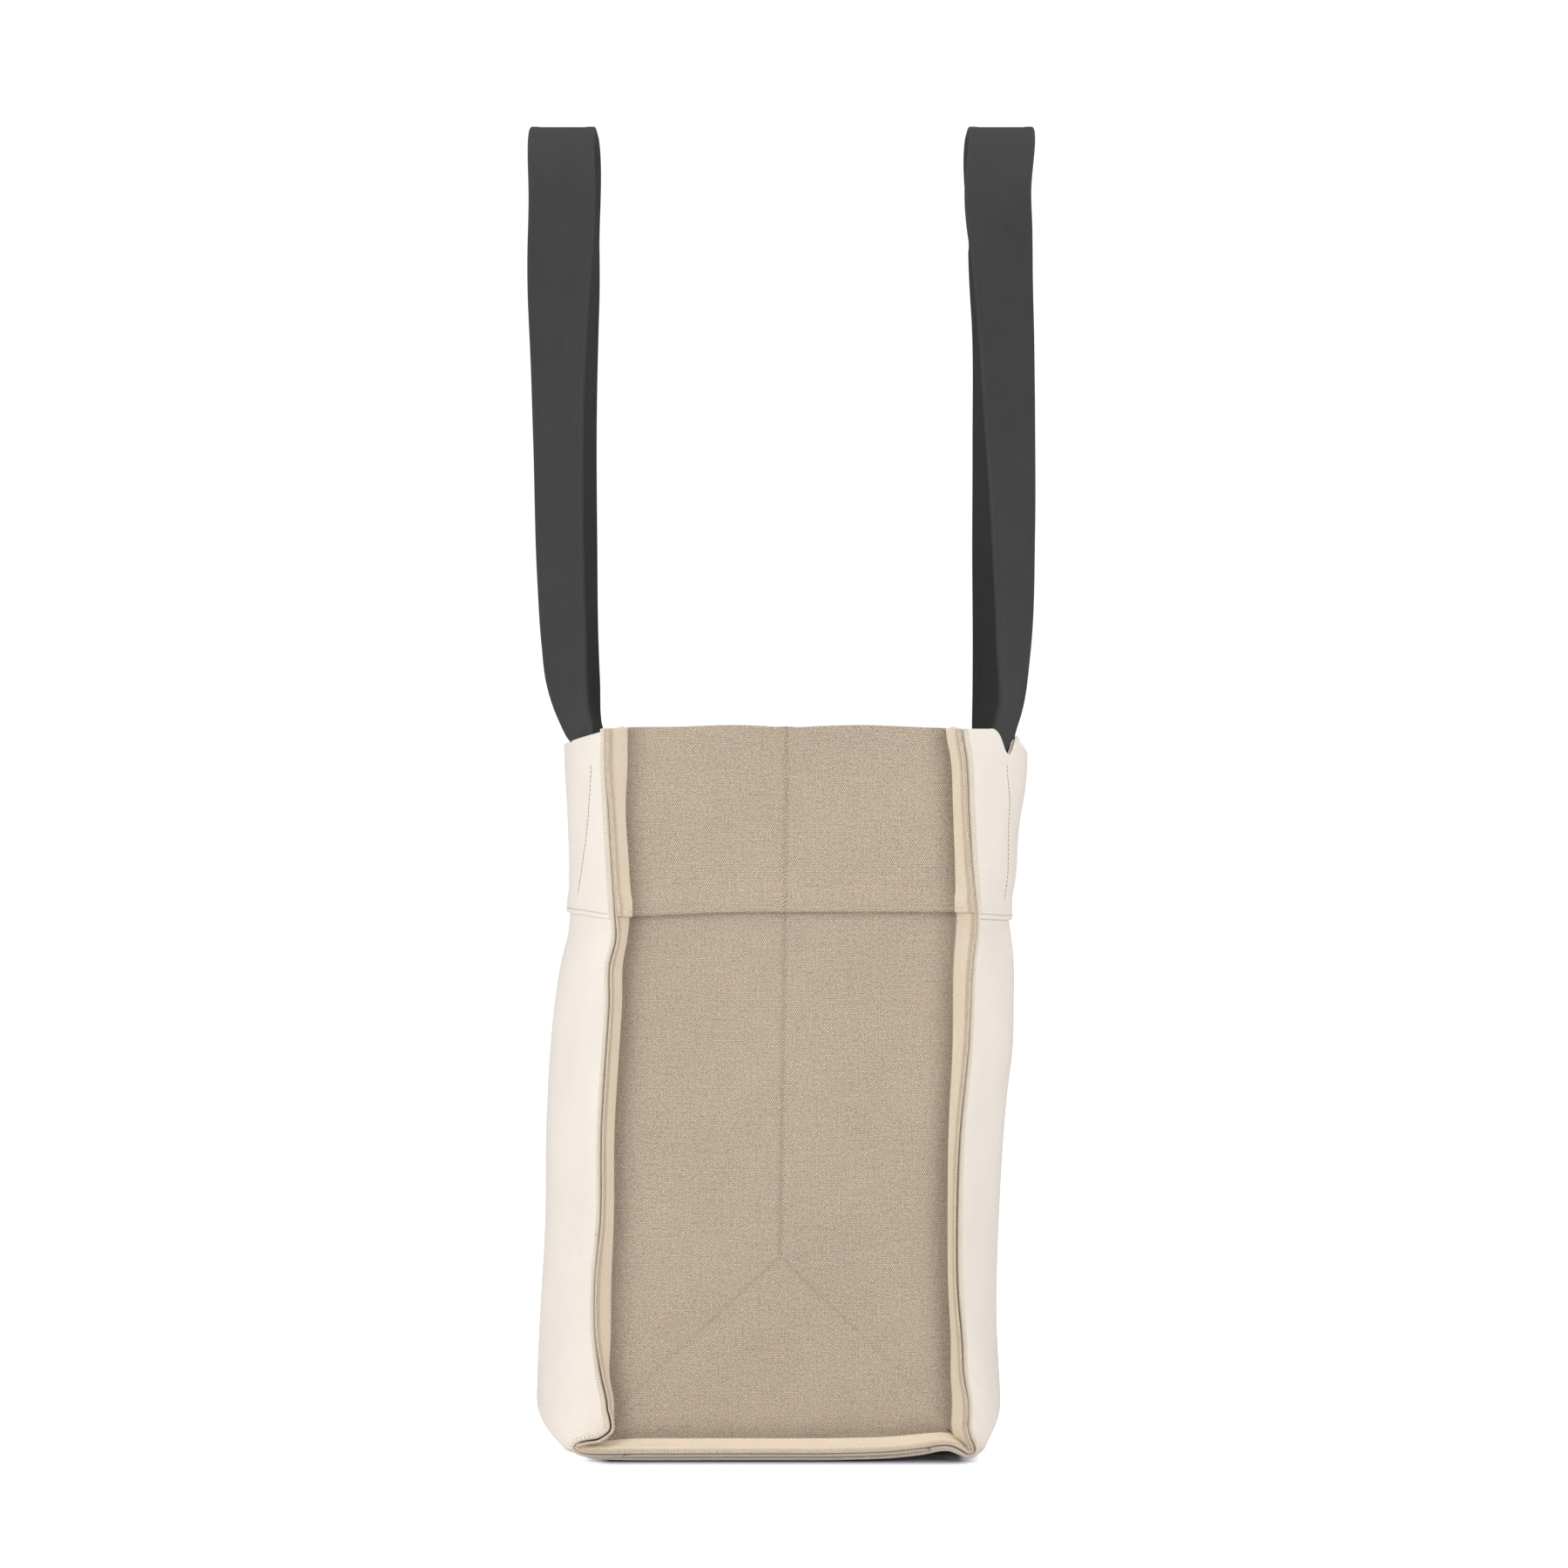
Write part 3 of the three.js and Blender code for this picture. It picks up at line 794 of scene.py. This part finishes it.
def canvas(name, light, dark, lip_light, lip_dark, weave, bump, uneven, valley=0.0, crease=0.0):
    """Cotton canvas. weave is how strongly the yarns show, uneven how much they differ from each
    other, valley how dark the cloth is painted beside a seam as shade, crease how dark its fold
    lines are painted as shade, and lip_light and lip_dark the colours of seams."""
    graph = Graph(name, roughness=0.95, sheen=0.08)
    position, height, product = plain_weave(graph, CANVAS_CELL)
    fold, lip = graph.share("fold"), graph.share("lip")
    braided = graph.math("MULTIPLY_ADD", braid(graph, position), 0.75, -0.75)
    braided = graph.math("MULTIPLY", braided, fold)
    yarns = [
        graph.noise(graph.scaled(position, stretch), 1.0)
        for stretch in ((1640.0, 40.0, 1.0), (40.0, 1000.0, 1.0))
    ]

    woven = woven_shade(graph, height, product, lip, weave)
    shade = graph.math("MULTIPLY_ADD", braided, 0.55, woven)
    ground = graph.mix(lip, light, lip_light)
    tone = graph.mix(shade, graph.mix(lip, dark, lip_dark), ground)
    tone = brightened(graph, tone, unevenness(graph, position, yarns, lip, uneven))
    tone = with_painted_shade_and_flecks(graph, tone, position, dark, valley, crease)
    graph.put(graph.shader.inputs["Base Color"], tone)

    relief = graph.math("MULTIPLY_ADD", graph.math("ADD", *yarns), 0.35, height)
    relief = graph.math("MULTIPLY_ADD", braided, 1.6, relief)
    graph.bump(relief, 0.00022, graph.math("MULTIPLY_ADD", fold, 0.3, bump))
    return graph.material


def strap_canvas():
    """Charcoal strap: a tight, smooth weave with a faint worn light along its folded edges."""
    graph = Graph("charcoal_strap", roughness=0.88, sheen=0.05)
    position, height, product = plain_weave(graph, STRAP_CELL)
    raised = graph.math("MULTIPLY_ADD", product, 0.10, 0.90)
    shade = graph.math("MULTIPLY_ADD", graph.math("MULTIPLY", height, raised), 0.30, 0.72)
    stretched = graph.scaled(position, (1100.0, 30.0, 1.0))
    cloud = graph.spread(graph.noise(position, 30.0, 3.0), -0.05, 0.05)
    streaks = graph.spread(graph.noise(stretched, 1.0), -0.05, 0.05)
    shade = graph.math("ADD", shade, graph.math("ADD", cloud, streaks))
    tone = graph.mix(shade, colour(30, 30, 30), colour(58, 58, 58))
    worn = graph.math("MULTIPLY", graph.share("fold"), 0.10)
    tone = graph.mix(worn, tone, colour(90, 88, 86))
    graph.put(graph.shader.inputs["Base Color"], tone)
    graph.bump(height, 0.00012, 0.35)
    return graph.material


def thread(name, light, dark):
    """Twisted sewing thread: fine turns along each stitch."""
    graph = Graph(name, roughness=0.7, sheen=0.1)
    position = graph.node("ShaderNodeTexCoord").outputs["Object"]
    turns = graph.node(
        "ShaderNodeTexWave", {"Vector": position, "Scale": 900.0, "Distortion": 0.5},
        bands_direction="DIAGONAL",
    ).outputs["Fac"]
    graph.put(graph.shader.inputs["Base Color"], graph.mix(turns, dark, light))
    graph.bump(turns, 0.0001, 0.5)
    return graph.material


PANEL_CANVAS = canvas(
    "panel_canvas", light=colour(240, 232, 222), dark=colour(176, 150, 118),
    lip_light=colour(236, 226, 210), lip_dark=colour(140, 112, 78),
    weave=0.12, bump=0.15, uneven=0.006,
)
# Painted shade: the gussets are the panels' same canvas, painted darker and more tan for the shade
# they stand in, with lips painted lighter, partly for the side light they catch. valley and crease
# paint shade beside the seams and along the fold lines.
GUSSET_CANVAS = canvas(
    "gusset_canvas", light=colour(226, 208, 186), dark=colour(67, 47, 29),
    lip_light=colour(236, 219, 196), lip_dark=colour(152, 126, 94),
    weave=0.96, bump=0.75, uneven=0.040, valley=0.30, crease=0.16,
)
STRAP = strap_canvas()
CREAM_THREAD = thread("cream_thread", colour(216, 200, 176), colour(178, 158, 130))
GOLD_THREAD = thread("gold_thread", colour(212, 172, 112), colour(160, 120, 70))


# ---- the sewn cloths ----------------------------------------------------------------------------

ROLLED = (CLOTH, 0.0)  # an edge that is only rounded off
# Places along a main panel and across a gusset, closer together at the seams.
PANEL_COLUMNS = mirrored(spaced(0.0, (0.150, 0.002), (0.1625, 0.0007), (0.1665, 0.0005),
                                (0.1685, 0.00025)))
GUSSET_COLUMNS = mirrored(spaced(0.0, (0.004, 0.0005), (0.082, 0.002), (0.0955, 0.0006),
                                 (0.0990, 0.0005), (0.1010, 0.00025)))
WALL = RIM - END_LIFT - CORNER_AT_END  # height of a main panel's wall at the seams
BAND_SHARE = BAND / WALL


def carry(made, node):
    """The bag carries made, which stands for the frame's node."""
    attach(made, "bag")
    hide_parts(node)
    return made


def wall_rows(low, step):
    """Rows of a panel from the rim down: fine at the rim's rounded edge."""
    return spaced(0.0, (0.002, 0.0005), (0.12, 0.004), (low, step))


def main_panel(side, name):
    rows = np.concatenate([
        wall_rows(0.93, 0.010),
        spaced(0.93, (1.0, 0.004), (2.0, 0.025), (3.0, 0.08))[1:],
    ])
    rope = lerp(ROPE, BASE_ROPE, smooth(rows, 1.2, 2.0))[:, None]
    edges = {"first": ROLLED, "sides": (rope, ROPE_REACH)}
    return cloth(f"{name}_panel_cloth", panel_surface(side), rows, PANEL_COLUMNS, FIRST, edges,
                 PANEL_CANVAS)


def main_band(side, name):
    rows = np.concatenate([
        wall_rows(BAND_SHARE - 0.006, 0.008),
        spaced(BAND_SHARE - 0.006, (BAND_SHARE, 0.0006))[1:],
    ])
    edges = {"first": ROLLED, "last": (HEM["panel"], HEM_REACH), "sides": (ROPE, ROPE_REACH)}
    return cloth(f"{name}_band_cloth", panel_surface(side), rows, PANEL_COLUMNS, SECOND, edges,
                 PANEL_CANVAS)


def gusset(end, name):
    low = END_LIFT - LIP
    rows = spaced(low, (low + 0.002, 0.00025), (END_LIFT + 0.010, 0.0006), (0.120, 0.002),
                  (0.400, 0.004), (RIM, 0.0003))
    edges = {"first": (END_ROPE, ROPE_REACH), "last": ROLLED, "sides": (END_ROPE, ROPE_REACH)}
    return cloth(f"{name}_gusset_cloth", gusset_surface(end), rows, GUSSET_COLUMNS, FIRST,
                 edges, GUSSET_CANVAS)


def gusset_band(end, name):
    low = RIM - BAND
    rows = spaced(low, (low + 0.003, 0.0003), (0.400, 0.003), (RIM, 0.0003))
    edges = {"first": (HEM["gusset"], HEM_REACH), "last": ROLLED, "sides": (END_ROPE, ROPE_REACH)}
    return cloth(f"{name}_gusset_band_cloth", gusset_surface(end), rows, GUSSET_COLUMNS,
                 SECOND, edges, GUSSET_CANVAS)


def base_layer(layer, name):
    half = BASE_HALF_WIDTH - 2 * GAP
    rows, columns = PANEL_COLUMNS, mirrored(spaced(0.0, (half, 0.002)))
    edges = {"first": (BASE_ROPE, ROPE_REACH), "last": (BASE_ROPE, ROPE_REACH), "sides": ROLLED}
    surface, parting = base_surface, PARTING - 0.0001
    if layer == SECOND:
        surface = lambda a, x: base_surface(a, x * ear(a))
        at_side = 1 - smooth(half - np.abs(columns), 0, 0.022)
        hidden = at_base_end(rows[:, None]) * at_side
        layer = lerp(SECOND, FIRST - 0.0005, hidden)
        parting += BASE_ROPE - CLOTH + 0.0005
    return cloth(f"{name}_cloth", surface, rows, columns, layer, edges, PANEL_CANVAS, parting)


def at_base_end(a):
    return smooth(np.abs(a), HALF_LENGTH - 0.010, HALF_LENGTH + 0.001)


def ear(a):
    """The reinforcement's ends spread into the corners, where its lip joins the side seams'."""
    return 1 + 0.30 * at_base_end(a)


def sewn_cloths():
    for name, side in SIDES.items():
        panel = carry(main_panel(side, name), f"{name}_panel")
        band = carry(main_band(side, name), f"{name}_top_band")
    for name, end in ENDS.items():
        side = carry(gusset(end, name), f"{name}_gusset")
        band = carry(gusset_band(end, name), f"{name}_gusset_top_band")
    for name, layer in (("base_panel", FIRST), ("base_reinforcement", SECOND)):
        base = carry(base_layer(layer, name), name)


sewn_cloths()


# ---- the handles --------------------------------------------------------------------------------

# Each leg of a strap by height: how far its middle stands from the bag's middle plane, and how far
# the strap has turned from lying along the bag (0) to square across it (90).
LEGS = {
    (FRONT, RIGHT): [(0.3995, 0.1148, 26), (0.411, 0.1191, 31), (0.430, 0.1231, 39),
                     (0.450, 0.1246, 43), (0.489, 0.1265, 46), (0.568, 0.1279, 50),
                     (0.616, 0.1280, 58), (0.658, 0.1274, 74), (0.700, 0.1258, 90)],
    (FRONT, LEFT): [(0.4085, 0.1192, 24), (0.434, 0.1243, 39), (0.519, 0.1284, 50),
                    (0.645, 0.1300, 66), (0.700, 0.1306, 90)],
    (BACK, RIGHT): [(0.401, 0.1245, 21), (0.413, 0.1278, 22), (0.446, 0.1300, 31),
                    (0.515, 0.1298, 42), (0.578, 0.1278, 51), (0.622, 0.1260, 58),
                    (0.667, 0.1236, 68), (0.705, 0.1212, 90)],
    (BACK, LEFT): [(0.405, 0.1225, 22), (0.434, 0.1262, 35), (0.515, 0.1283, 45),
                   (0.578, 0.1300, 53), (0.645, 0.1316, 66), (0.705, 0.1303, 90)],
}
ARCH_HEIGHT = 0.060
ARCH_FLAT = 0.012  # half of the level stretch at the top
SPRINGING = STRAP_TOP - STRAP_THICKNESS / 2 - ARCH_HEIGHT


TUCK = 0.0010  # how far the sewn end is pressed into the panel, out of sight


def leg_slant(side):
    """Angle of a main panel's rim in plan where a strap meets it, in degrees."""
    reach = STRAP_WIDTH / 2
    ends = half_width(side, np.array([LEG_Y - reach, LEG_Y + reach]), np.array(RIM - 0.01))
    return math.degrees(math.atan((ends[0] - ends[1]) / STRAP_WIDTH))


def inside_the_panel(side, z):
    """Where a strap's middle lies when it is sewn flat to the inside of a main panel."""
    return half_width(side, LEG_Y, z) + TAIL_LAYER - TUCK


def half_strap(side, end, crown):
    """The middle line of half a strap from its sewn end up, and the direction across it there."""
    foot = rim_height(side, LEG_Y) - 0.004
    slant = leg_slant(side)
    tail = [(z, inside_the_panel(side, z), slant) for z in np.linspace(foot - TAIL, foot, 7)]
    knots = tail + LEGS[(side, end)]
    out_knots = knots_of(knots, 1)
    leg_z = spaced(foot - TAIL, (foot, 0.004), (foot + 0.024, 0.001), (SPRINGING, 0.004))
    angle = np.radians(np.arange(4, 91, 4))
    arch_z = SPRINGING + ARCH_HEIGHT * np.sin(angle)
    arch_y = ARCH_FLAT + (LEG_Y - ARCH_FLAT) * np.cos(angle)
    over_arch = through(arch_z, out_knots + [(STRAP_TOP, crown)])
    z = np.concatenate([leg_z, arch_z])
    y = np.concatenate([np.full_like(leg_z, LEG_Y), arch_y])
    out = np.concatenate([through(leg_z, out_knots), over_arch])
    turn = np.radians(through(z, knots_of(knots, 2)))
    line = np.stack([side * out, end * y, z], -1)
    return line, np.stack([side * np.sin(turn), -end * np.cos(turn), np.zeros_like(z)], -1)


def strap_line(side):
    """A strap's middle line and the direction across it, from one sewn end to the other."""
    crown = np.mean([LEGS[(side, end)][-1][1] for end in (RIGHT, LEFT)])
    up, down = (half_strap(side, end, crown) for end in (RIGHT, LEFT))
    return tuple(np.concatenate([a, b[::-1]]) for a, b in zip(up, down))


EDGE_SWELL = 1.22  # how much thicker the folded edges are than the middle
EDGE_ROUND = 0.0012


def strap_section():
    """The outline of a strap's section as (across, thickness) pairs."""
    half = STRAP_WIDTH / 2
    across = spaced(0.0, (half - 0.004, 0.0025), (half - EDGE_ROUND, 0.0007))
    swell = lerp(1, EDGE_SWELL, smooth(across, half - 0.006, half - 0.0035))
    top = np.stack([across, STRAP_THICKNESS / 2 * swell], -1)
    angle = np.radians(np.arange(75, -1, -15))
    round_x = half - EDGE_ROUND + EDGE_ROUND * np.cos(angle)
    round_z = STRAP_THICKNESS / 2 * EDGE_SWELL * np.sin(angle)
    quarter = np.concatenate([top, np.stack([round_x, round_z], -1)])
    right = np.concatenate([quarter, quarter[-2::-1] * (1, -1)])
    return np.concatenate([right, right[-2:0:-1] * (-1, 1)])


def strap_mesh(side, name, section):
    """A strap's mesh, mapped along and round it, and its length."""
    middle, across = strap_line(side)
    along = unit(np.gradient(middle, axis=0))
    across = unit(across - along * np.sum(across * along, -1, keepdims=True))
    out = np.cross(across, along)
    rings = (
        middle[:, None]
        + across[:, None] * section[None, :, :1]
        + out[:, None] * section[None, :, 1:]
    )
    made = new_object(f"{name}_strap", rings.reshape(-1, 3), tube_faces(*rings.shape[:2]), STRAP)
    travelled = lengths(middle, 0)
    around = np.where(section[:, 1] >= 0, section[:, 0], STRAP_WIDTH - section[:, 0])
    uv = np.stack(np.broadcast_arrays(around[None, :], travelled[:, None]), -1).reshape(-1, 2)
    set_map(made, "cloth", uv)
    fold = smooth(np.abs(section[:, 0]), STRAP_WIDTH / 2 - 0.0022, STRAP_WIDTH / 2)
    set_share(made, "fold", np.tile(fold, len(middle)))
    return made, float(travelled[-1])


def strap(side, name):
    made, length = strap_mesh(side, name, strap_section())
    rim = rim_height(side, LEG_Y)
    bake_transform(made)
    tails = [f"{name}_handle_tail_{place}" for place in ENDS]
    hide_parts(f"{name}_handle", *tails)


for side_name, panel_side in SIDES.items():
    strap(panel_side, side_name)


# ---- stitching ----------------------------------------------------------------------------------


STITCH_RINGS, STITCH_SIDES = 7, 6


def stitch(centre, normal, radius):
    """The points of one short rounded thread along a centre line, bowed out along the normals."""
    share = np.linspace(0, 1, STITCH_RINGS)
    girth = np.sqrt(np.clip(1 - (2 * share - 1) ** 4, 0.03, 1))
    turn = np.linspace(0, 2 * math.pi, STITCH_SIDES, endpoint=False)
    aside = unit(np.cross(unit(np.gradient(centre, axis=0)), normal))
    lift = 0.35 * radius * np.sin(math.pi * share)
    body = (
        (centre + normal * lift[:, None])[:, None]
        + aside[:, None] * (np.cos(turn) * radius)[None, :, None] * girth[:, None, None]
        + normal[:, None] * (np.sin(turn) * radius)[None, :, None] * girth[:, None, None]
    )
    return body.reshape(-1, 3)


def stitches(name, line, normals, material, pitch=0.0031, length=0.0025, radius=0.00024):
    """A row of stitches along a line on a cloth."""
    travelled = lengths(line, 0)
    tube = tube_faces(STITCH_RINGS, STITCH_SIDES)
    points, faces = [], []
    for start in np.arange(pitch / 2, travelled[-1] - length, pitch):
        at = np.linspace(start, start + length, STITCH_RINGS)
        centre, normal = (
            np.stack([np.interp(at, travelled, column) for column in values.T], -1)
            for values in (line, normals)
        )
        base = len(points) * STITCH_RINGS * STITCH_SIDES
        faces += [[corner + base for corner in face] for face in tube]
        points.append(stitch(centre, unit(normal), radius))
    made = new_object(name, np.concatenate(points), faces, material)
    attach(made, "bag")


def on_cloth(surface, rows, columns, height):
    """Points along a line on the outside of a cloth, and the cloth's normals there."""
    step = 1e-4
    here = slump(surface(rows, columns))
    down = slump(surface(rows + step, columns)) - here
    aside = slump(surface(rows, columns + step)) - here
    normals = unit(np.cross(down, aside))
    return here + normals * height, normals


HEM_INSET = 0.0028  # how far a hem's stitching is from the folded edge
BAND_FACE = SECOND + CLOTH / 2


def hem_face(kind):
    return SECOND - CLOTH / 2 + HEM[kind]


def hem_rows():
    reach = HALF_LENGTH + LIP - 0.004
    share = BAND_SHARE * (1 - HEM_INSET / BAND)
    for name, side in SIDES.items():
        a = np.linspace(-reach, reach, 240)
        line, normals = on_cloth(panel_surface(side), np.full_like(a, share), a, hem_face("panel"))
        stitches(f"{name}_hem_stitching", line, normals, CREAM_THREAD)
    reach = HALF_GUSSET + LIP - 0.004
    for name, end in ENDS.items():
        u = np.linspace(-reach, reach, 160)
        w = np.full_like(u, RIM - BAND + HEM_INSET)
        line, normals = on_cloth(gusset_surface(end), w, u, hem_face("gusset"))
        stitches(f"{name}_hem_stitching", line, normals, CREAM_THREAD)


# The gold stitching of a strap's end: heights and distances from the bag's middle down its edge,
# and how near the middle the row along its foot ends.
TAIL_STITCHING = {
    FRONT: ([(0.3830, 0.110), (0.3440, 0.099), (0.3230, 0.085), (0.3030, 0.074)], 0.066),
    BACK: ([(0.3870, 0.086), (0.3520, 0.071), (0.3035, 0.0645)], 0.032),
}


def tail_rows():
    """Gold stitching that holds each strap end, seen on the outside of the band: down one edge of
    the strap and along its foot."""
    for name, side in SIDES.items():
        edge, foot = TAIL_STITCHING[side]
        z = np.linspace(edge[0][0], edge[-1][0], 60)
        y = np.append(through(z, edge), foot)
        z = np.append(z, edge[-1][0])
        top = rim_height(side, y)
        s = (top - z) / (top - base_height(y) - corner_radius(y))
        for place, end in ENDS.items():
            line, normals = on_cloth(panel_surface(side), s, side * end * y, BAND_FACE)
            stitches(f"{name}_{place}_tail_stitching", line, normals, GOLD_THREAD,
                     pitch=0.0026, length=0.0023, radius=0.00030)


hem_rows()
tail_rows()


# ---- studio -------------------------------------------------------------------------------------

CAMERA_DISTANCE, CAMERA_HEIGHT, CAMERA_LENS = 2.465, 0.371, 96.6
LIGHTS_AIM = (0.0, 0.0, 0.30)


def placed(name, data, place, turn):
    made = bpy.data.objects.new(name, data)
    made.location = place
    made.rotation_euler = turn
    bpy.context.scene.collection.objects.link(made)
    return made


def camera():
    data = bpy.data.cameras.new("camera")
    data.lens = CAMERA_LENS
    data.sensor_width = 36.0
    place = (0.0, -CAMERA_DISTANCE, CAMERA_HEIGHT)
    bpy.context.scene.camera = placed("camera", data, place, (math.pi / 2, 0.0, 0.0))


def soft_light(name, place, size, power):
    data = bpy.data.lights.new(name, "AREA")
    data.shape = "RECTANGLE"
    data.size, data.size_y = size
    data.energy = power
    direction = Vector(LIGHTS_AIM) - Vector(place)
    made = placed(name, data, place, direction.to_track_quat("-Z", "Y").to_euler())
    made.visible_camera = False


def lights():
    soft_light("left_light", (-1.0, -0.75, 0.60), (0.5, 1.0), 9.5)
    soft_light("right_light", (1.0, -0.75, 0.60), (0.5, 1.0), 8.5)
    soft_light("top_light", (0.0, -0.40, 1.9), (1.2, 1.2), 11.0)
    soft_light("front_light", (0.0, -2.9, 1.1), (1.6, 1.2), 3.5)


FOOTPRINT = (0.092, 0.160, 0.0)  # half of the floor area that the bag shades
SHADED, LIT = 0.004, 0.026  # how far beyond it the floor starts and ends turning pale


def pale_floor():
    """A floor that glows for the camera, except in the shade close around the bag, where a
    contact shadow is also painted into its colour.
    """
    graph = Graph("studio_white", roughness=1.0)
    outside = graph.node("ShaderNodeTexCoord").outputs["Object"]
    for operation, value in (("ABSOLUTE", (0, 0, 0)), ("SUBTRACT", FOOTPRINT),
                             ("MAXIMUM", (0, 0, 0))):
        outside = graph.vector(operation, outside, value)
    distance = graph.node("ShaderNodeVectorMath", {0: outside}, operation="LENGTH")
    reach = {0: distance.outputs["Value"], 1: SHADED, 2: LIT, 3: 0.0, 4: 1.05}
    far = graph.node("ShaderNodeMapRange", reach).outputs[0]
    seen = graph.node("ShaderNodeLightPath").outputs["Is Camera Ray"]
    # Painted contact shadow: the floor's colour turns darker and bluish close around the bag.
    paint_with_contact_shadow = graph.mix(far, (0.40, 0.40, 0.45, 1.0), (0.86, 0.86, 0.88, 1.0))
    for socket, value in (
        ("Specular IOR Level", 0.0),
        ("Emission Color", (1.0, 1.0, 1.0, 1.0)),
        ("Emission Strength", graph.math("MULTIPLY", seen, far)),
        ("Base Color", paint_with_contact_shadow),
    ):
        graph.put(graph.shader.inputs[socket], value)
    return graph.material


def floor():
    bpy.ops.mesh.primitive_circle_add(vertices=96, radius=9.0, fill_type="NGON")
    made = bpy.context.object
    made.name = "studio_floor"
    made.data.materials.append(pale_floor())


def world():
    made = bpy.data.worlds.new("studio_world")
    made.use_nodes = True
    tree = made.node_tree
    background = tree.nodes["Background"]
    background.inputs["Color"].default_value = (1.0, 1.0, 1.0, 1.0)
    path = tree.nodes.new("ShaderNodeLightPath")
    strength = tree.nodes.new("ShaderNodeMapRange")
    strength.inputs["To Min"].default_value = 0.22
    strength.inputs["To Max"].default_value = 1.1
    tree.links.new(path.outputs["Is Camera Ray"], strength.inputs["Value"])
    tree.links.new(strength.outputs[0], background.inputs["Strength"])
    bpy.context.scene.world = made


camera()
lights()
floor()
world()
bpy.context.scene.view_settings.view_transform = "Standard"
